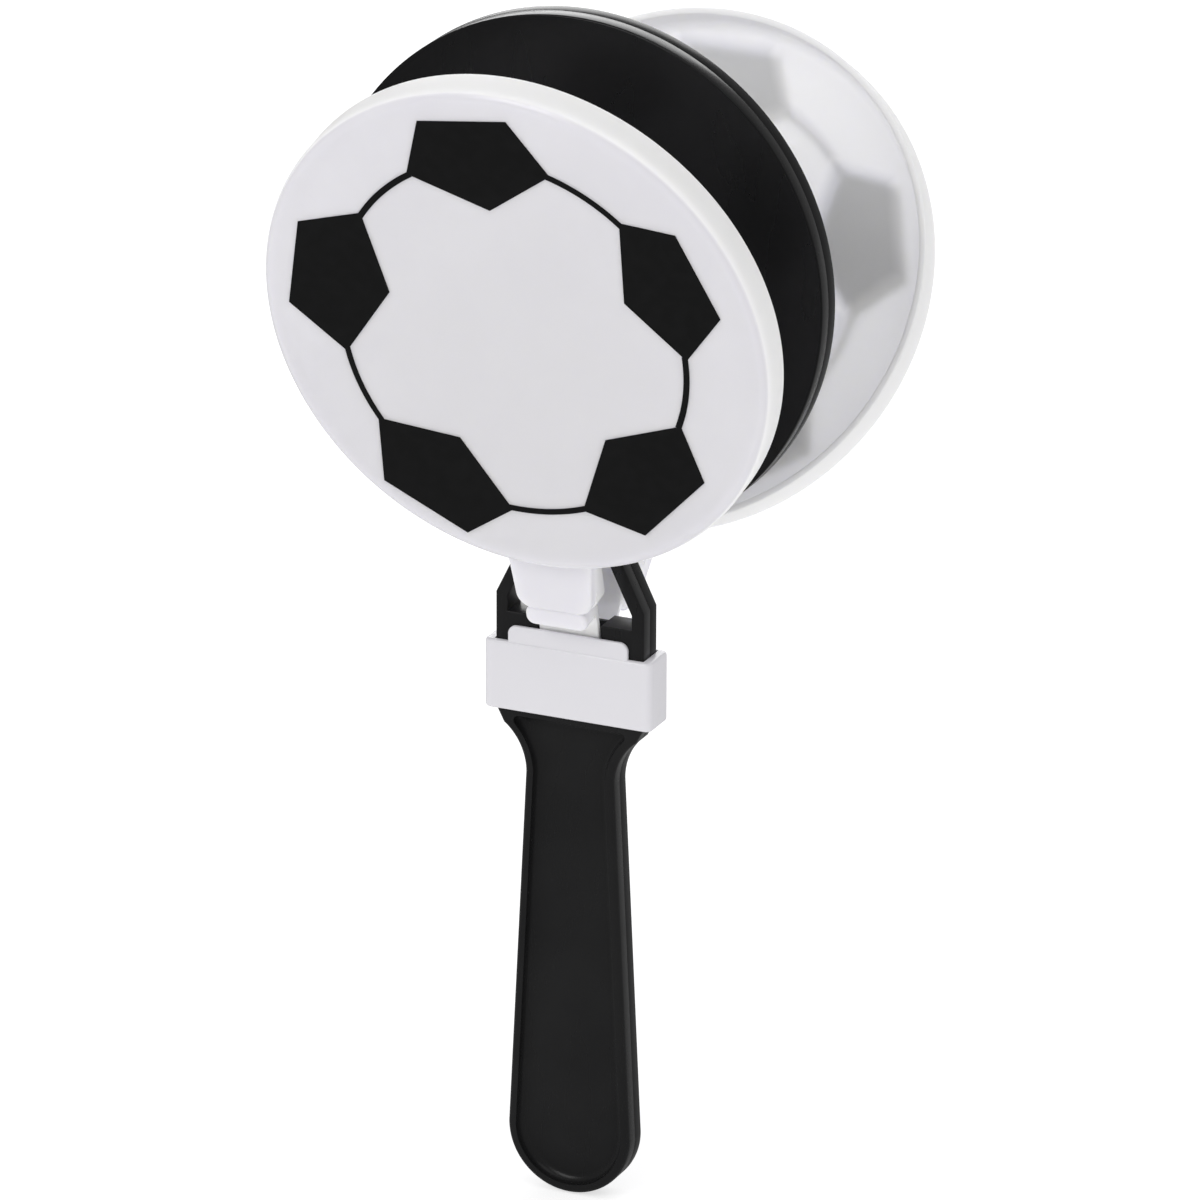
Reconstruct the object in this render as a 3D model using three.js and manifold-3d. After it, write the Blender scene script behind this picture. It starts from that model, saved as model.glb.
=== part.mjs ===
// Hand clapper: a black paddle of two half shells, two white dished plates that swing on
// cross pins at its neck, and a white collar that shuts the pins in.
// Millimetres. +Z runs up the handle, the front plate faces -Y, and the origin is the
// middle of the grip, between the butt and the collar.
import * as THREE from 'three';
import { mergeVertices } from 'three/addons/utils/BufferGeometryUtils.js';
import Module from 'manifold-3d';

const wasm = await Module();
wasm.setup();

// Paddle: the disc and what all of it shares
const discRadius = 60;
const paddleThickness = 7.6;
const faceWall = 1.6;
const rimWall = 2;
const edgeChamfer = 0.3;

// Neck: two legs that lean in above the collar, with the crossbar between them
const neckWidth = 36;
const legWidth = 2.9;
const neckRise = 26.6;
const bendRise = 11;
const leanAngle = THREE.MathUtils.degToRad(26);
const windowTopWidth = 19.8;
const crossbarTopRise = 6.8;
const crossbarCore = 1;

// Grip: a waist under the flare, a long taper and a round butt
const gripLength = 115.25;
const waistWidth = 21.6;
const waistDrop = 14.65;
const flareRadius = 14;
const flareTurn = THREE.MathUtils.degToRad(52);
const buttRadius = 15;
const panelRim = 2;
const panelDepth = 2.5;
const panelSlope = 0.9;
const panelTopRim = 1.5;
const panelCorner = 1.2;

// Inside the disc: ribs, locating pins and their sockets
const ribCount = 6;
const ribThickness = 1.2;
const ribRingRadius = 30;
const dowelRadius = 1.5;
const dowelReach = 1.5;
const dowelClearance = 0.15;
const bossRadius = 3;
const dowelCircle = 46;
const dowelCount = 4;

// Collar: a sleeve round the neck, with a retaining lip on the front only
const collarWidth = 40.7;
const collarDepth = 10.2;
const collarHeight = 16.35;
const collarCorner = 1.2;
const collarEdge = 0.6;
const collarClearance = 0.2;
const leadIn = 0.55;
const lipWidth = 29.2;
const lipHeight = 3.85;
const lipSetback = 0.3;
const lipCorner = 2;
const lipEdge = 0.2;

// Plates: one moulding used twice
const plateRadius = discRadius;
const plateDepth = 8.8;
const plateWall = 1.6;
const plateEdge = 2.4;
const lipRound = 0.3;
const plateLift = 1;
const closedGap = 0.15;

// Hinge: a cross pin on each plate's tongue, lying in the pocket under the crossbar
const pinRadius = 1.75;
const pinDrop = 3.05;
const pinGap = 0.5;
const pinEndGap = 0.35;
const pinEndRound = 0.8;
const pocketClearance = 0.2;
const webWidth = 14.3;
const webThickness = 1.3;
const webOffset = 0.1;
const notchClearance = 0.6;
const restGap = 0.3;

// Tongue between the plate and its pin
const tongueTopWidth = 20.6;
const tongueBottomWidth = 19;
const tongueSetback = 4.75;
const tongueCorner = 3.2;
const tongueEdge = 0.5;
const tongueRise = 16.35;
const tongueLegGap = 0.5;
const tongueDiscGap = 0.5;
const beadWidth = 14.8;
const beadHeight = 4.4;
const beadCorner = 1.9;
const beadEdge = 0.6;

// Print: a ring of five pentagons joined by arcs, turned a little differently on each plate
const motifCount = 5;
const motifInnerRadius = 31;
const motifSideRadius = 42.8;
const motifOuterRadius = 53.4;
const motifSideAngle = THREE.MathUtils.degToRad(23.6);
const motifOuterAngle = THREE.MathUtils.degToRad(11.8);
const printLine = 1.2;
const printThickness = 0.15;
const printGap = 0.3;
const frontPrintTurn = THREE.MathUtils.degToRad(6.7);
const rearPrintTurn = THREE.MathUtils.degToRad(0.4);

// Smoothness
const discSteps = 84;
const arcSteps = 10;
const pinSides = 24;
const overlap = 0.4;

// Levels and offsets that follow from the sizes above
const paddleHalf = paddleThickness / 2;
const collarBottomZ = gripLength / 2;
const collarTopZ = collarBottomZ + collarHeight;
const discCentreZ = collarTopZ + neckRise + discRadius;
const buttCentreZ = buttRadius - gripLength / 2;
const waistZ = collarBottomZ - waistDrop;
const neckHalf = neckWidth / 2;
const legInnerHalf = neckHalf - legWidth;
const windowTopHalf = windowTopWidth / 2;
const hingeZ = collarTopZ - pinDrop;
const pinOffset = pinRadius + pinGap / 2;
const pinLength = 2 * (legInnerHalf - pinEndGap);
const pocketTopZ = hingeZ + pinRadius + pocketClearance;
const pocketFloorZ = hingeZ - pinRadius - pocketClearance;
const crossbarTopZ = collarTopZ + crossbarTopRise;
const sleeveHalf = paddleHalf + collarClearance;
const plateReach = discCentreZ - hingeZ + plateLift;
const plateFace = paddleHalf + closedGap + plateDepth - pinOffset;
const plateLip = plateFace - plateDepth;

const black = { color: 0x1b1b1d, metalness: 0 };
const white = { color: 0xe0dfe4, metalness: 0 };
const materials = {
  paddle: new THREE.MeshStandardMaterial({ ...black, roughness: 0.28 }),
  plate: new THREE.MeshStandardMaterial({ ...white, roughness: 0.35 }),
  collar: new THREE.MeshStandardMaterial({ ...white, roughness: 0.42 }),
  ink: new THREE.MeshStandardMaterial({ ...black, roughness: 0.5 }),
};

// Points of an arc about (cx, cz), from one angle to another
function arc(cx, cz, radius, from, to, steps = arcSteps) {
  return Array.from({ length: steps + 1 }, (_, i) => {
    const angle = from + ((to - from) * i) / steps;
    return new THREE.Vector2(cx + radius * Math.cos(angle), cz + radius * Math.sin(angle));
  });
}

function point(x, z) {
  return new THREE.Vector2(x, z);
}

// The right half of an outline, from bottom to top, closed by its mirror image
function mirrored(rightHalf) {
  const leftHalf = rightHalf
    .filter((p) => Math.abs(p.x) > 1e-9)
    .map((p) => point(-p.x, p.y))
    .reverse();
  return new THREE.Shape([...rightHalf, ...leftHalf]);
}

// Right half of a plate-like outline with its two lower corners rounded
function roundedFoot(bottomHalf, bottomZ, topHalf, topZ, corner) {
  const foot = arc(bottomHalf - corner, bottomZ + corner, corner, -Math.PI / 2, 0);
  return mirrored([...foot, point(topHalf, topZ)]);
}

// A closed geometry becomes a solid that can be joined and cut
function toSolid(geometry) {
  const bare = geometry.clone();
  bare.deleteAttribute('normal');
  bare.deleteAttribute('uv');
  const merged = mergeVertices(bare, 1e-4);
  const corners = merged.index.array;
  const triVerts = [];
  for (let i = 0; i < corners.length; i += 3) {
    const [a, b, c] = [corners[i], corners[i + 1], corners[i + 2]];
    if (a !== b && b !== c && c !== a) triVerts.push(a, b, c);
  }
  const mesh = new wasm.Mesh({
    numProp: 3,
    vertProperties: Float32Array.from(merged.attributes.position.array),
    triVerts: Uint32Array.from(triVerts),
  });
  return new wasm.Manifold(mesh);
}

function toGeometry(solid) {
  const mesh = solid.getMesh();
  const geometry = new THREE.BufferGeometry();
  geometry.setAttribute('position', new THREE.BufferAttribute(mesh.vertProperties, 3));
  geometry.setIndex(new THREE.BufferAttribute(mesh.triVerts, 1));
  const faceted = geometry.toNonIndexed();
  faceted.computeVertexNormals();
  return faceted;
}

// A front-view shape swept through the depth from outerY, nearest the viewer, to innerY
function sweepDepth(shape, outerY, innerY, edge = 0, edgeRun = edge) {
  const geometry = new THREE.ExtrudeGeometry(shape, {
    depth: innerY - outerY - 2 * edgeRun,
    bevelEnabled: edge > 0,
    bevelThickness: edgeRun,
    bevelSize: edge,
    bevelOffset: -edge,
    bevelSegments: 1,
  });
  geometry.rotateX(Math.PI / 2);
  geometry.translate(0, innerY - edgeRun, 0);
  return toSolid(geometry);
}

function box(x0, x1, y0, y1, z0, z1) {
  const geometry = new THREE.BoxGeometry(x1 - x0, y1 - y0, z1 - z0);
  geometry.translate((x0 + x1) / 2, (y0 + y1) / 2, (z0 + z1) / 2);
  return toSolid(geometry);
}

// A round bar through the depth at (x, z)
function depthBar(radius, y0, y1, x, z, sides = pinSides) {
  const geometry = new THREE.CylinderGeometry(radius, radius, y1 - y0, sides);
  geometry.translate(x, (y0 + y1) / 2, z);
  return toSolid(geometry);
}

// Paddle outline: butt, taper, flare, neck and disc
function paddleOutline() {
  const legOuterTop = windowTopHalf + legWidth;
  const leanTopZ = collarTopZ + bendRise + (neckHalf - legOuterTop) / Math.tan(leanAngle);
  const joinAngle = Math.acos(legOuterTop / discRadius);
  return mirrored([
    ...arc(0, buttCentreZ, buttRadius, -Math.PI / 2, 0, 2 * arcSteps),
    ...arc(waistWidth / 2 + flareRadius, waistZ, flareRadius, Math.PI, Math.PI - flareTurn),
    point(neckHalf, collarBottomZ),
    point(neckHalf, collarTopZ + bendRise),
    point(legOuterTop, leanTopZ),
    ...arc(0, discCentreZ, discRadius, -joinAngle, Math.PI / 2, discSteps / 2),
  ]);
}

// Window between the legs, above the crossbar and under the disc
function neckWindow() {
  const bendZ = collarTopZ + bendRise - legWidth * Math.tan(leanAngle / 2);
  const leanTopZ = bendZ + (legInnerHalf - windowTopHalf) / Math.tan(leanAngle);
  const topAngle = Math.acos(windowTopHalf / discRadius);
  return mirrored([
    point(legInnerHalf, crossbarTopZ),
    point(legInnerHalf, bendZ),
    point(windowTopHalf, leanTopZ),
    ...arc(0, discCentreZ, discRadius, -topAngle, -Math.PI / 2, 6),
  ]);
}

// Pocket under the crossbar, where the two hinge pins lie
function pinPocket() {
  return mirrored([point(legInnerHalf, pocketFloorZ), point(legInnerHalf, pocketTopZ)]);
}

// Sunk panel on the outside of the grip, inside a rim of even width
function gripPanel() {
  const cornerZ = collarBottomZ - panelTopRim - panelCorner;
  const flareX = waistWidth / 2 + flareRadius;
  const panelFlare = flareRadius + panelRim;
  const reach = panelFlare + panelCorner;
  const turn = Math.asin((cornerZ - waistZ) / reach);
  return mirrored([
    ...arc(0, buttCentreZ, buttRadius - panelRim, -Math.PI / 2, 0, 2 * arcSteps),
    ...arc(flareX, waistZ, panelFlare, Math.PI, Math.PI - turn, 6),
    ...arc(flareX - reach * Math.cos(turn), cornerZ, panelCorner, -turn, Math.PI / 2, 4).slice(1),
  ]);
}

// Where the dowels stand round the disc
function dowelPlaces() {
  return Array.from({ length: dowelCount }, (_, i) => {
    const angle = ((i + 0.5) * 2 * Math.PI) / dowelCount;
    return [dowelCircle * Math.cos(angle), discCentreZ + dowelCircle * Math.sin(angle)];
  });
}

// Ribs and dowel bosses that stand on the inside of the disc's face
function innerFrame() {
  const floorY = faceWall - paddleHalf;
  const crestY = -dowelClearance;
  const ringSides = discSteps / 2;
  const [ringOuter, ringInner] = [ribRingRadius + ribThickness / 2, ribRingRadius - ribThickness / 2];
  let frame = depthBar(ringOuter, floorY - overlap, crestY, 0, discCentreZ, ringSides)
    .subtract(depthBar(ringInner, floorY - 1, 1, 0, discCentreZ, ringSides));
  for (let i = 0; i < ribCount; i += 1) {
    const rib = new THREE.BoxGeometry(discRadius - rimWall - ribRingRadius + overlap,
      crestY - floorY + overlap, ribThickness);
    rib.translate((discRadius - rimWall + ribRingRadius + overlap) / 2,
      (crestY + floorY - overlap) / 2, 0);
    rib.rotateY((i * 2 * Math.PI) / ribCount);
    rib.translate(0, 0, discCentreZ);
    frame = frame.add(toSolid(rib));
  }
  for (const [x, z] of dowelPlaces()) {
    frame = frame.add(depthBar(bossRadius, floorY - overlap, crestY, x, z));
  }
  return frame;
}

// Half of the paddle with its outer face to the front; the rear half is turned round
function shellBlank() {
  const outline = paddleOutline();
  outline.holes.push(neckWindow(), pinPocket());
  const notchHalf = webWidth / 2 + notchClearance;
  const panelMouth = 1;
  return sweepDepth(outline, -paddleHalf, 0, edgeChamfer)
    .subtract(depthBar(discRadius - rimWall, faceWall - paddleHalf, 1, 0, discCentreZ, discSteps))
    .subtract(box(-notchHalf, notchHalf, -paddleHalf - 1, -crossbarCore / 2,
      pocketTopZ - overlap, crossbarTopZ + overlap))
    .subtract(sweepDepth(gripPanel(), -paddleHalf - panelMouth - panelDepth,
      panelDepth - paddleHalf, panelSlope, panelDepth))
    .add(innerFrame());
}

// The front shell carries the dowels
function frontShell() {
  return dowelPlaces().reduce((shell, [x, z]) => shell.add(
    depthBar(dowelRadius, faceWall - paddleHalf - overlap, dowelReach, x, z),
  ), shellBlank());
}

// The rear shell's bosses are bored for them
function rearShell() {
  return dowelPlaces().reduce((shell, [x, z]) => shell.subtract(
    depthBar(dowelRadius + dowelClearance, -dowelReach - dowelClearance, 1, x, z),
  ), shellBlank());
}

// Rectangle in plan with rounded corners
function roundedPlan(width, depth, corner) {
  const [x, y] = [width / 2 - corner, depth / 2 - corner];
  const quarter = Math.PI / 2;
  return new THREE.Shape([
    ...arc(x, -y, corner, -quarter, 0, 4),
    ...arc(x, y, corner, 0, quarter, 4),
    ...arc(-x, y, corner, quarter, 2 * quarter, 4),
    ...arc(-x, -y, corner, 2 * quarter, 3 * quarter, 4),
  ]);
}

function plan(width, depth) {
  const [x, y] = [width / 2, depth / 2];
  return new THREE.Shape([point(-x, -y), point(x, -y), point(x, y), point(-x, y)]);
}

// A plan shape swept upwards
function sweepUp(shape, bottomZ, topZ, edge = 0) {
  const geometry = new THREE.ExtrudeGeometry(shape, {
    depth: topZ - bottomZ - 2 * edge,
    bevelEnabled: edge > 0,
    bevelThickness: edge,
    bevelSize: edge,
    bevelOffset: -edge,
    bevelSegments: 2,
  });
  geometry.translate(0, 0, bottomZ + edge);
  return toSolid(geometry);
}

// Collar: a rounded block, the neck's bore, a lead-in at its mouth and the front lip
function collarSolid() {
  const boreWidth = neckWidth + 2 * collarClearance;
  const bore = plan(boreWidth, 2 * sleeveHalf);
  const mouth = new THREE.ExtrudeGeometry(bore, {
    depth: 1,
    bevelEnabled: true,
    bevelThickness: leadIn,
    bevelSize: leadIn,
    bevelSegments: 1,
  });
  mouth.translate(0, 0, collarTopZ);
  const lip = roundedFoot(lipWidth / 2, -lipHeight, lipWidth / 2, leadIn + overlap, lipCorner);
  const lipSolid = sweepDepth(lip, lipSetback - collarDepth / 2, -sleeveHalf, lipEdge)
    .rotate([0, 180, 0])
    .translate([0, 0, collarTopZ]);
  return sweepUp(roundedPlan(collarWidth, collarDepth, collarCorner), collarBottomZ, collarTopZ,
    collarEdge)
    .subtract(sweepUp(bore, collarBottomZ - 1, collarTopZ + 1))
    .subtract(toSolid(mouth))
    .add(lipSolid);
}

// Plate, in its own frame: the pin's axis is X, the plate stands up along Z and its
// printed face looks along -Y

// Dish: a flat face, a soft edge and a skirt, all of one wall thickness
function dishSolid() {
  const rim = plateRadius - plateEdge;
  const outerEdge = arc(rim, plateEdge - plateFace, plateEdge, -Math.PI / 2, 0, 5);
  const innerEdge = arc(rim, plateEdge - plateFace, plateEdge - plateWall, 0, -Math.PI / 2, 3);
  const geometry = new THREE.LatheGeometry([
    point(0, -plateFace),
    ...outerEdge,
    point(plateRadius, -plateLip - lipRound),
    point(plateRadius - lipRound, -plateLip),
    point(plateRadius - plateWall + lipRound, -plateLip),
    point(plateRadius - plateWall, -plateLip - lipRound),
    ...innerEdge,
    point(0, plateWall - plateFace),
  ], discSteps);
  geometry.translate(0, 0, plateReach);
  return toSolid(geometry);
}

// Tongue in front of the legs, running up into the skirt
function tongueFront() {
  const skirtMiddle = plateRadius - plateWall / 2;
  const topAngle = Math.acos(tongueTopWidth / 2 / skirtMiddle);
  const foot = arc(tongueBottomWidth / 2 - tongueCorner, tongueRise + tongueCorner, tongueCorner,
    -Math.PI / 2, 0);
  const shape = mirrored([
    ...foot,
    ...arc(0, plateReach, skirtMiddle, -topAngle, -Math.PI / 2, 6),
  ]);
  const clearOfLegs = paddleHalf + restGap - pinOffset;
  return sweepDepth(shape, tongueSetback - plateFace, -clearOfLegs, tongueEdge);
}

// Back of the tongue, which drops into the neck window when the plate shuts
function tongueBack() {
  const half = windowTopHalf - tongueLegGap;
  const topRise = neckRise + pinDrop - tongueDiscGap;
  const shape = roundedFoot(half, tongueRise, half, topRise, tongueCorner);
  const clearOfLegs = paddleHalf + restGap - pinOffset;
  return sweepDepth(shape, -clearOfLegs - overlap - tongueEdge, webThickness - webOffset);
}

// Bead under the tongue, rounded at both ends
function tongueBead() {
  const cornerX = beadWidth / 2 - beadCorner;
  const shape = mirrored([
    ...arc(cornerX, tongueRise - beadHeight + beadCorner, beadCorner, -Math.PI / 2, 0, 6),
    ...arc(cornerX, tongueRise + overlap - beadCorner, beadCorner, 0, Math.PI / 2, 6),
  ]);
  return sweepDepth(shape, tongueSetback - plateFace, overlap - webOffset, beadEdge);
}

// Web from the back of the tongue down to the pin, close behind the pin's axis
function hingeWeb() {
  return box(-webWidth / 2, webWidth / 2, -webOffset, webThickness - webOffset,
    0, tongueRise + 2 * overlap);
}

// Cross pin with rounded ends
function hingePin() {
  const half = pinLength / 2;
  const shoulder = half - pinEndRound;
  const waist = pinRadius - pinEndRound;
  const geometry = new THREE.LatheGeometry([
    point(0, -half),
    ...arc(waist, -shoulder, pinEndRound, -Math.PI / 2, 0, 3),
    ...arc(waist, shoulder, pinEndRound, 0, Math.PI / 2, 3),
    point(0, half),
  ], pinSides, Math.PI / pinSides);
  geometry.rotateZ(Math.PI / 2);
  return toSolid(geometry);
}

function plateSolid() {
  return dishSolid()
    .add(tongueFront())
    .add(tongueBack())
    .add(tongueBead())
    .add(hingeWeb())
    .add(hingePin());
}

// One pentagon of the print and the arc that leads on to the next
function motifShapes(middle) {
  const corner = (radius, turn) => point(
    radius * Math.cos(middle + turn),
    radius * Math.sin(middle + turn),
  );
  const pentagon = new THREE.Shape([
    corner(motifInnerRadius, 0),
    corner(motifSideRadius, -motifSideAngle),
    corner(motifOuterRadius, -motifOuterAngle),
    corner(motifOuterRadius, motifOuterAngle),
    corner(motifSideRadius, motifSideAngle),
  ]);
  const tuck = 0.8 / motifSideRadius;
  const from = middle + motifSideAngle - tuck;
  const to = middle + (2 * Math.PI) / motifCount - motifSideAngle + tuck;
  const joining = new THREE.Shape([
    ...arc(0, 0, motifSideRadius + printLine / 2, from, to, 8),
    ...arc(0, 0, motifSideRadius - printLine / 2, to, from, 8),
  ]);
  return [pentagon, joining];
}

function printSolid(turn) {
  const outerY = -plateFace - printGap - printThickness;
  let print = null;
  for (let i = 0; i < motifCount; i += 1) {
    const middle = Math.PI / 2 + turn + (i * 2 * Math.PI) / motifCount;
    for (const shape of motifShapes(middle)) {
      const inked = sweepDepth(shape, outerY, outerY + printThickness);
      print = print ? print.add(inked) : inked;
    }
  }
  return print.translate([0, 0, plateReach]);
}

// How far a plate falls open before its web lies restGap from an edge of the collar,
// for an edge (outward, up) from the pin's axis
function openingAngle(outward, up) {
  const reach = Math.hypot(outward, up);
  return Math.acos((webOffset + restGap) / reach) - Math.atan2(up, outward);
}

function namedMesh(name, solid, material) {
  const mesh = new THREE.Mesh(toGeometry(solid), material);
  mesh.name = name;
  return mesh;
}

// A plate with its print, hung on its pin and fallen open to its stop
function hungPlate(side, angle, printTurn) {
  const swing = new THREE.Group();
  const inward = side === 'front' ? 1 : -1;
  swing.position.set(0, -inward * pinOffset, hingeZ);
  swing.rotation.x = inward * angle;
  const facing = new THREE.Group();
  facing.rotation.z = side === 'front' ? 0 : Math.PI;
  facing.add(
    namedMesh(`${side}_plate`, plateSolid(), materials.plate),
    namedMesh(`${side}_print`, printSolid(printTurn), materials.ink),
  );
  swing.add(facing);
  return swing;
}

const toSleeve = sleeveHalf - pinOffset;
const frontAngle = openingAngle(toSleeve, pinDrop + lipHeight - lipEdge);
const rearAngle = Math.min(
  openingAngle(toSleeve, pinDrop - leadIn),
  openingAngle(toSleeve + leadIn, pinDrop),
);

const clapper = new THREE.Group();
const frontHalf = namedMesh('paddle_front_shell', frontShell(), materials.paddle);
const rearHalf = namedMesh('paddle_rear_shell', rearShell(), materials.paddle);
rearHalf.rotation.z = Math.PI;
clapper.add(
  frontHalf,
  rearHalf,
  namedMesh('neck_collar', collarSolid(), materials.collar),
  hungPlate('front', frontAngle, frontPrintTurn),
  hungPlate('rear', rearAngle, rearPrintTurn),
);

export default clapper;
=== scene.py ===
# Hand clapper: a black paddle, two white plates that swing on its neck, and a white collar.
# Sizes are in millimetres and angles in degrees.
import bpy
import bmesh
import math
from mathutils import Matrix, Vector


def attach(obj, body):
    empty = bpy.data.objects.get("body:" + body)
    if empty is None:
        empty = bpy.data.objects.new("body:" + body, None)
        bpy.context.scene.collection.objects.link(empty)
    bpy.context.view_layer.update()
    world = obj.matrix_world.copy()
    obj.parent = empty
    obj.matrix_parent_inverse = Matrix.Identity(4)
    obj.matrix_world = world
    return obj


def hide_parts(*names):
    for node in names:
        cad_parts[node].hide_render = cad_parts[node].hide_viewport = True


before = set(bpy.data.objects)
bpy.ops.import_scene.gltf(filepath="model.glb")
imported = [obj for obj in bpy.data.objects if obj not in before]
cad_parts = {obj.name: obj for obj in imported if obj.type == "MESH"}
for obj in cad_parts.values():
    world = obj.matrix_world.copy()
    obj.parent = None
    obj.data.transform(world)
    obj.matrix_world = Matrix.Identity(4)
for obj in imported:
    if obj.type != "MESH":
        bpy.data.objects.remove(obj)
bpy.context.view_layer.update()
mm = 0.001
touch = 0.01  # how near two coordinates must lie to count as the same
facing = 0.9  # how much of a face's normal must lie along an axis to count as facing that way

hinge = {
    "side": 2.0,  # how far each pin lies from the middle of the paddle
    "height": 70.925,
    "open": {"front": 13.3412, "rear": 31.4826},  # how far each plate stands open in the photograph
}


def dropSelection():
    if bpy.context.object and bpy.context.object.mode != "OBJECT":
        bpy.ops.object.mode_set(mode="OBJECT")
    bpy.ops.object.select_all(action="DESELECT")


def makeActive(piece):
    dropSelection()
    piece.select_set(True)
    bpy.context.view_layer.objects.active = piece


def settle(piece):
    makeActive(piece)
    bpy.ops.object.transform_apply(location=True, rotation=True, scale=True)


def addBox(name, low, high):
    dropSelection()
    size = [(b - a) * mm for a, b in zip(low, high)]
    middle = [(a + b) / 2 * mm for a, b in zip(low, high)]
    bpy.ops.mesh.primitive_cube_add(size=1, location=middle, scale=size)
    box = bpy.context.object
    box.name = name
    settle(box)
    return box


def addBar(name, radius, start, end, axis, sides):
    dropSelection()
    middle = [(a + b) / 2 * mm for a, b in zip(start, end)]
    length = math.dist(start, end) * mm
    turn = {"X": (0, math.pi / 2, 0), "Y": (math.pi / 2, 0, 0)}[axis]
    bpy.ops.mesh.primitive_cylinder_add(vertices=sides, radius=radius * mm, depth=length,
                                        location=middle, rotation=turn)
    bar = bpy.context.object
    bar.name = name
    settle(bar)
    return bar


def arcPoints(x, z, radius, start, end, steps):
    turns = [math.radians(start + (end - start) * i / steps) for i in range(steps + 1)]
    return [(x + radius * math.cos(t), z + radius * math.sin(t)) for t in turns]


def mirrored(half):
    return half + [(-x, z) for x, z in reversed(half) if abs(x) > touch]


def drawOutline(name, points, near, far):
    # One vertex is extruded from point to point; the outline is then filled and given its depth
    dropSelection()
    x, z = points[0]
    bpy.ops.mesh.primitive_plane_add(size=mm, location=(x * mm, near * mm, z * mm))
    piece = bpy.context.object
    piece.name = name
    settle(piece)
    bpy.ops.object.mode_set(mode="EDIT")
    bpy.ops.mesh.select_mode(type="VERT")
    bpy.ops.mesh.select_all(action="SELECT")
    bpy.ops.mesh.merge(type="CENTER")
    for (x0, z0), (x1, z1) in zip(points, points[1:]):
        bpy.ops.mesh.extrude_vertices_move(
            TRANSFORM_OT_translate={"value": ((x1 - x0) * mm, 0, (z1 - z0) * mm)})
    bpy.ops.mesh.select_all(action="SELECT")
    bpy.ops.mesh.edge_face_add()
    bpy.ops.mesh.select_all(action="SELECT")
    bpy.ops.mesh.extrude_region_move(TRANSFORM_OT_translate={"value": (0, (far - near) * mm, 0)})
    bpy.ops.mesh.select_all(action="SELECT")
    bpy.ops.mesh.normals_make_consistent(inside=False)
    bpy.ops.object.mode_set(mode="OBJECT")
    return piece


def startPicking(piece, kind):
    makeActive(piece)
    bpy.ops.object.mode_set(mode="EDIT")
    bpy.ops.mesh.select_mode(type=kind)
    bpy.ops.mesh.select_all(action="DESELECT")
    return bmesh.from_edit_mesh(piece.data)


def pickEdges(piece, wanted):
    # Picks the edges whose two ends pass the test
    shape = startPicking(piece, "EDGE")
    for edge in shape.edges:
        a, b = (v.co / mm for v in edge.verts)
        if wanted(a, b):
            edge.select_set(True)
    bmesh.update_edit_mesh(piece.data)


def pickFaces(piece, wanted):
    # Picks the faces whose normal and middle pass the test
    shape = startPicking(piece, "FACE")
    for face in shape.faces:
        if wanted(face.normal, face.calc_center_median() / mm):
            face.select_set(True)
    bmesh.update_edit_mesh(piece.data)


def roundEdges(piece, wanted, width, steps):
    pickEdges(piece, wanted)
    bpy.ops.mesh.bevel(offset=width * mm, segments=steps, affect="EDGES", clamp_overlap=True)
    bpy.ops.object.mode_set(mode="OBJECT")


def roundUnevenly(piece, rules, steps):
    # Each rule is a test and a width; the widest goes into the modifier, the others as edge weights
    widest = max(width for wanted, width in rules)
    for wanted, width in rules:
        pickEdges(piece, wanted)
        bpy.ops.transform.edge_bevelweight(value=width / widest)
        bpy.ops.object.mode_set(mode="OBJECT")
    makeActive(piece)
    rounding = piece.modifiers.new("rounding", "BEVEL")
    rounding.limit_method = "WEIGHT"
    rounding.width = widest * mm
    rounding.segments = steps
    bpy.ops.object.modifier_apply(modifier=rounding.name)


def widenFace(piece, wanted, ratio):
    pickFaces(piece, wanted)
    bpy.ops.transform.resize(value=ratio)
    bpy.ops.object.mode_set(mode="OBJECT")


def combine(base, tool, operation):
    makeActive(base)
    cut = base.modifiers.new("combine", "BOOLEAN")
    cut.operation = operation
    cut.solver = "EXACT"
    cut.object = tool
    bpy.ops.object.modifier_apply(modifier=cut.name)
    bpy.data.objects.remove(tool)
    return base


def smooth(piece, limit=35):
    makeActive(piece)
    bpy.ops.object.shade_smooth_by_angle(angle=math.radians(limit))


def copyOf(piece, name):
    makeActive(piece)
    bpy.ops.object.duplicate(linked=False)
    copy = bpy.context.object
    copy.name = name
    return copy


def hungPose(side):
    # Where a plate's own frame stands: its place and its turn
    away = -hinge["side"] if side == "front" else hinge["side"]
    about = 0 if side == "front" else math.pi
    return (0, away * mm, hinge["height"] * mm), (math.radians(hinge["open"][side]), 0, about)


def startMaterial(name):
    material = bpy.data.materials.new(name)
    material.use_nodes = True
    nodes = material.node_tree.nodes
    return material, nodes, material.node_tree.links, nodes["Principled BSDF"]


def mathNode(nodes, links, operation, first, second=None, third=None):
    node = nodes.new("ShaderNodeMath")
    node.operation = operation
    for socket, value in zip(node.inputs, (first, second, third)):
        if value is None:
            continue
        if isinstance(value, (int, float)):
            socket.default_value = value
        else:
            links.new(value, socket)
    return node.outputs[0]


def noiseAt(nodes, links, place, scale, detail, stretch=(1, 1, 1)):
    mapping = nodes.new("ShaderNodeMapping")
    mapping.inputs["Scale"].default_value = stretch
    links.new(place, mapping.inputs["Vector"])
    noise = nodes.new("ShaderNodeTexNoise")
    noise.inputs["Scale"].default_value = scale
    noise.inputs["Detail"].default_value = detail
    links.new(mapping.outputs["Vector"], noise.inputs["Vector"])
    return noise.outputs["Fac"]


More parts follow.
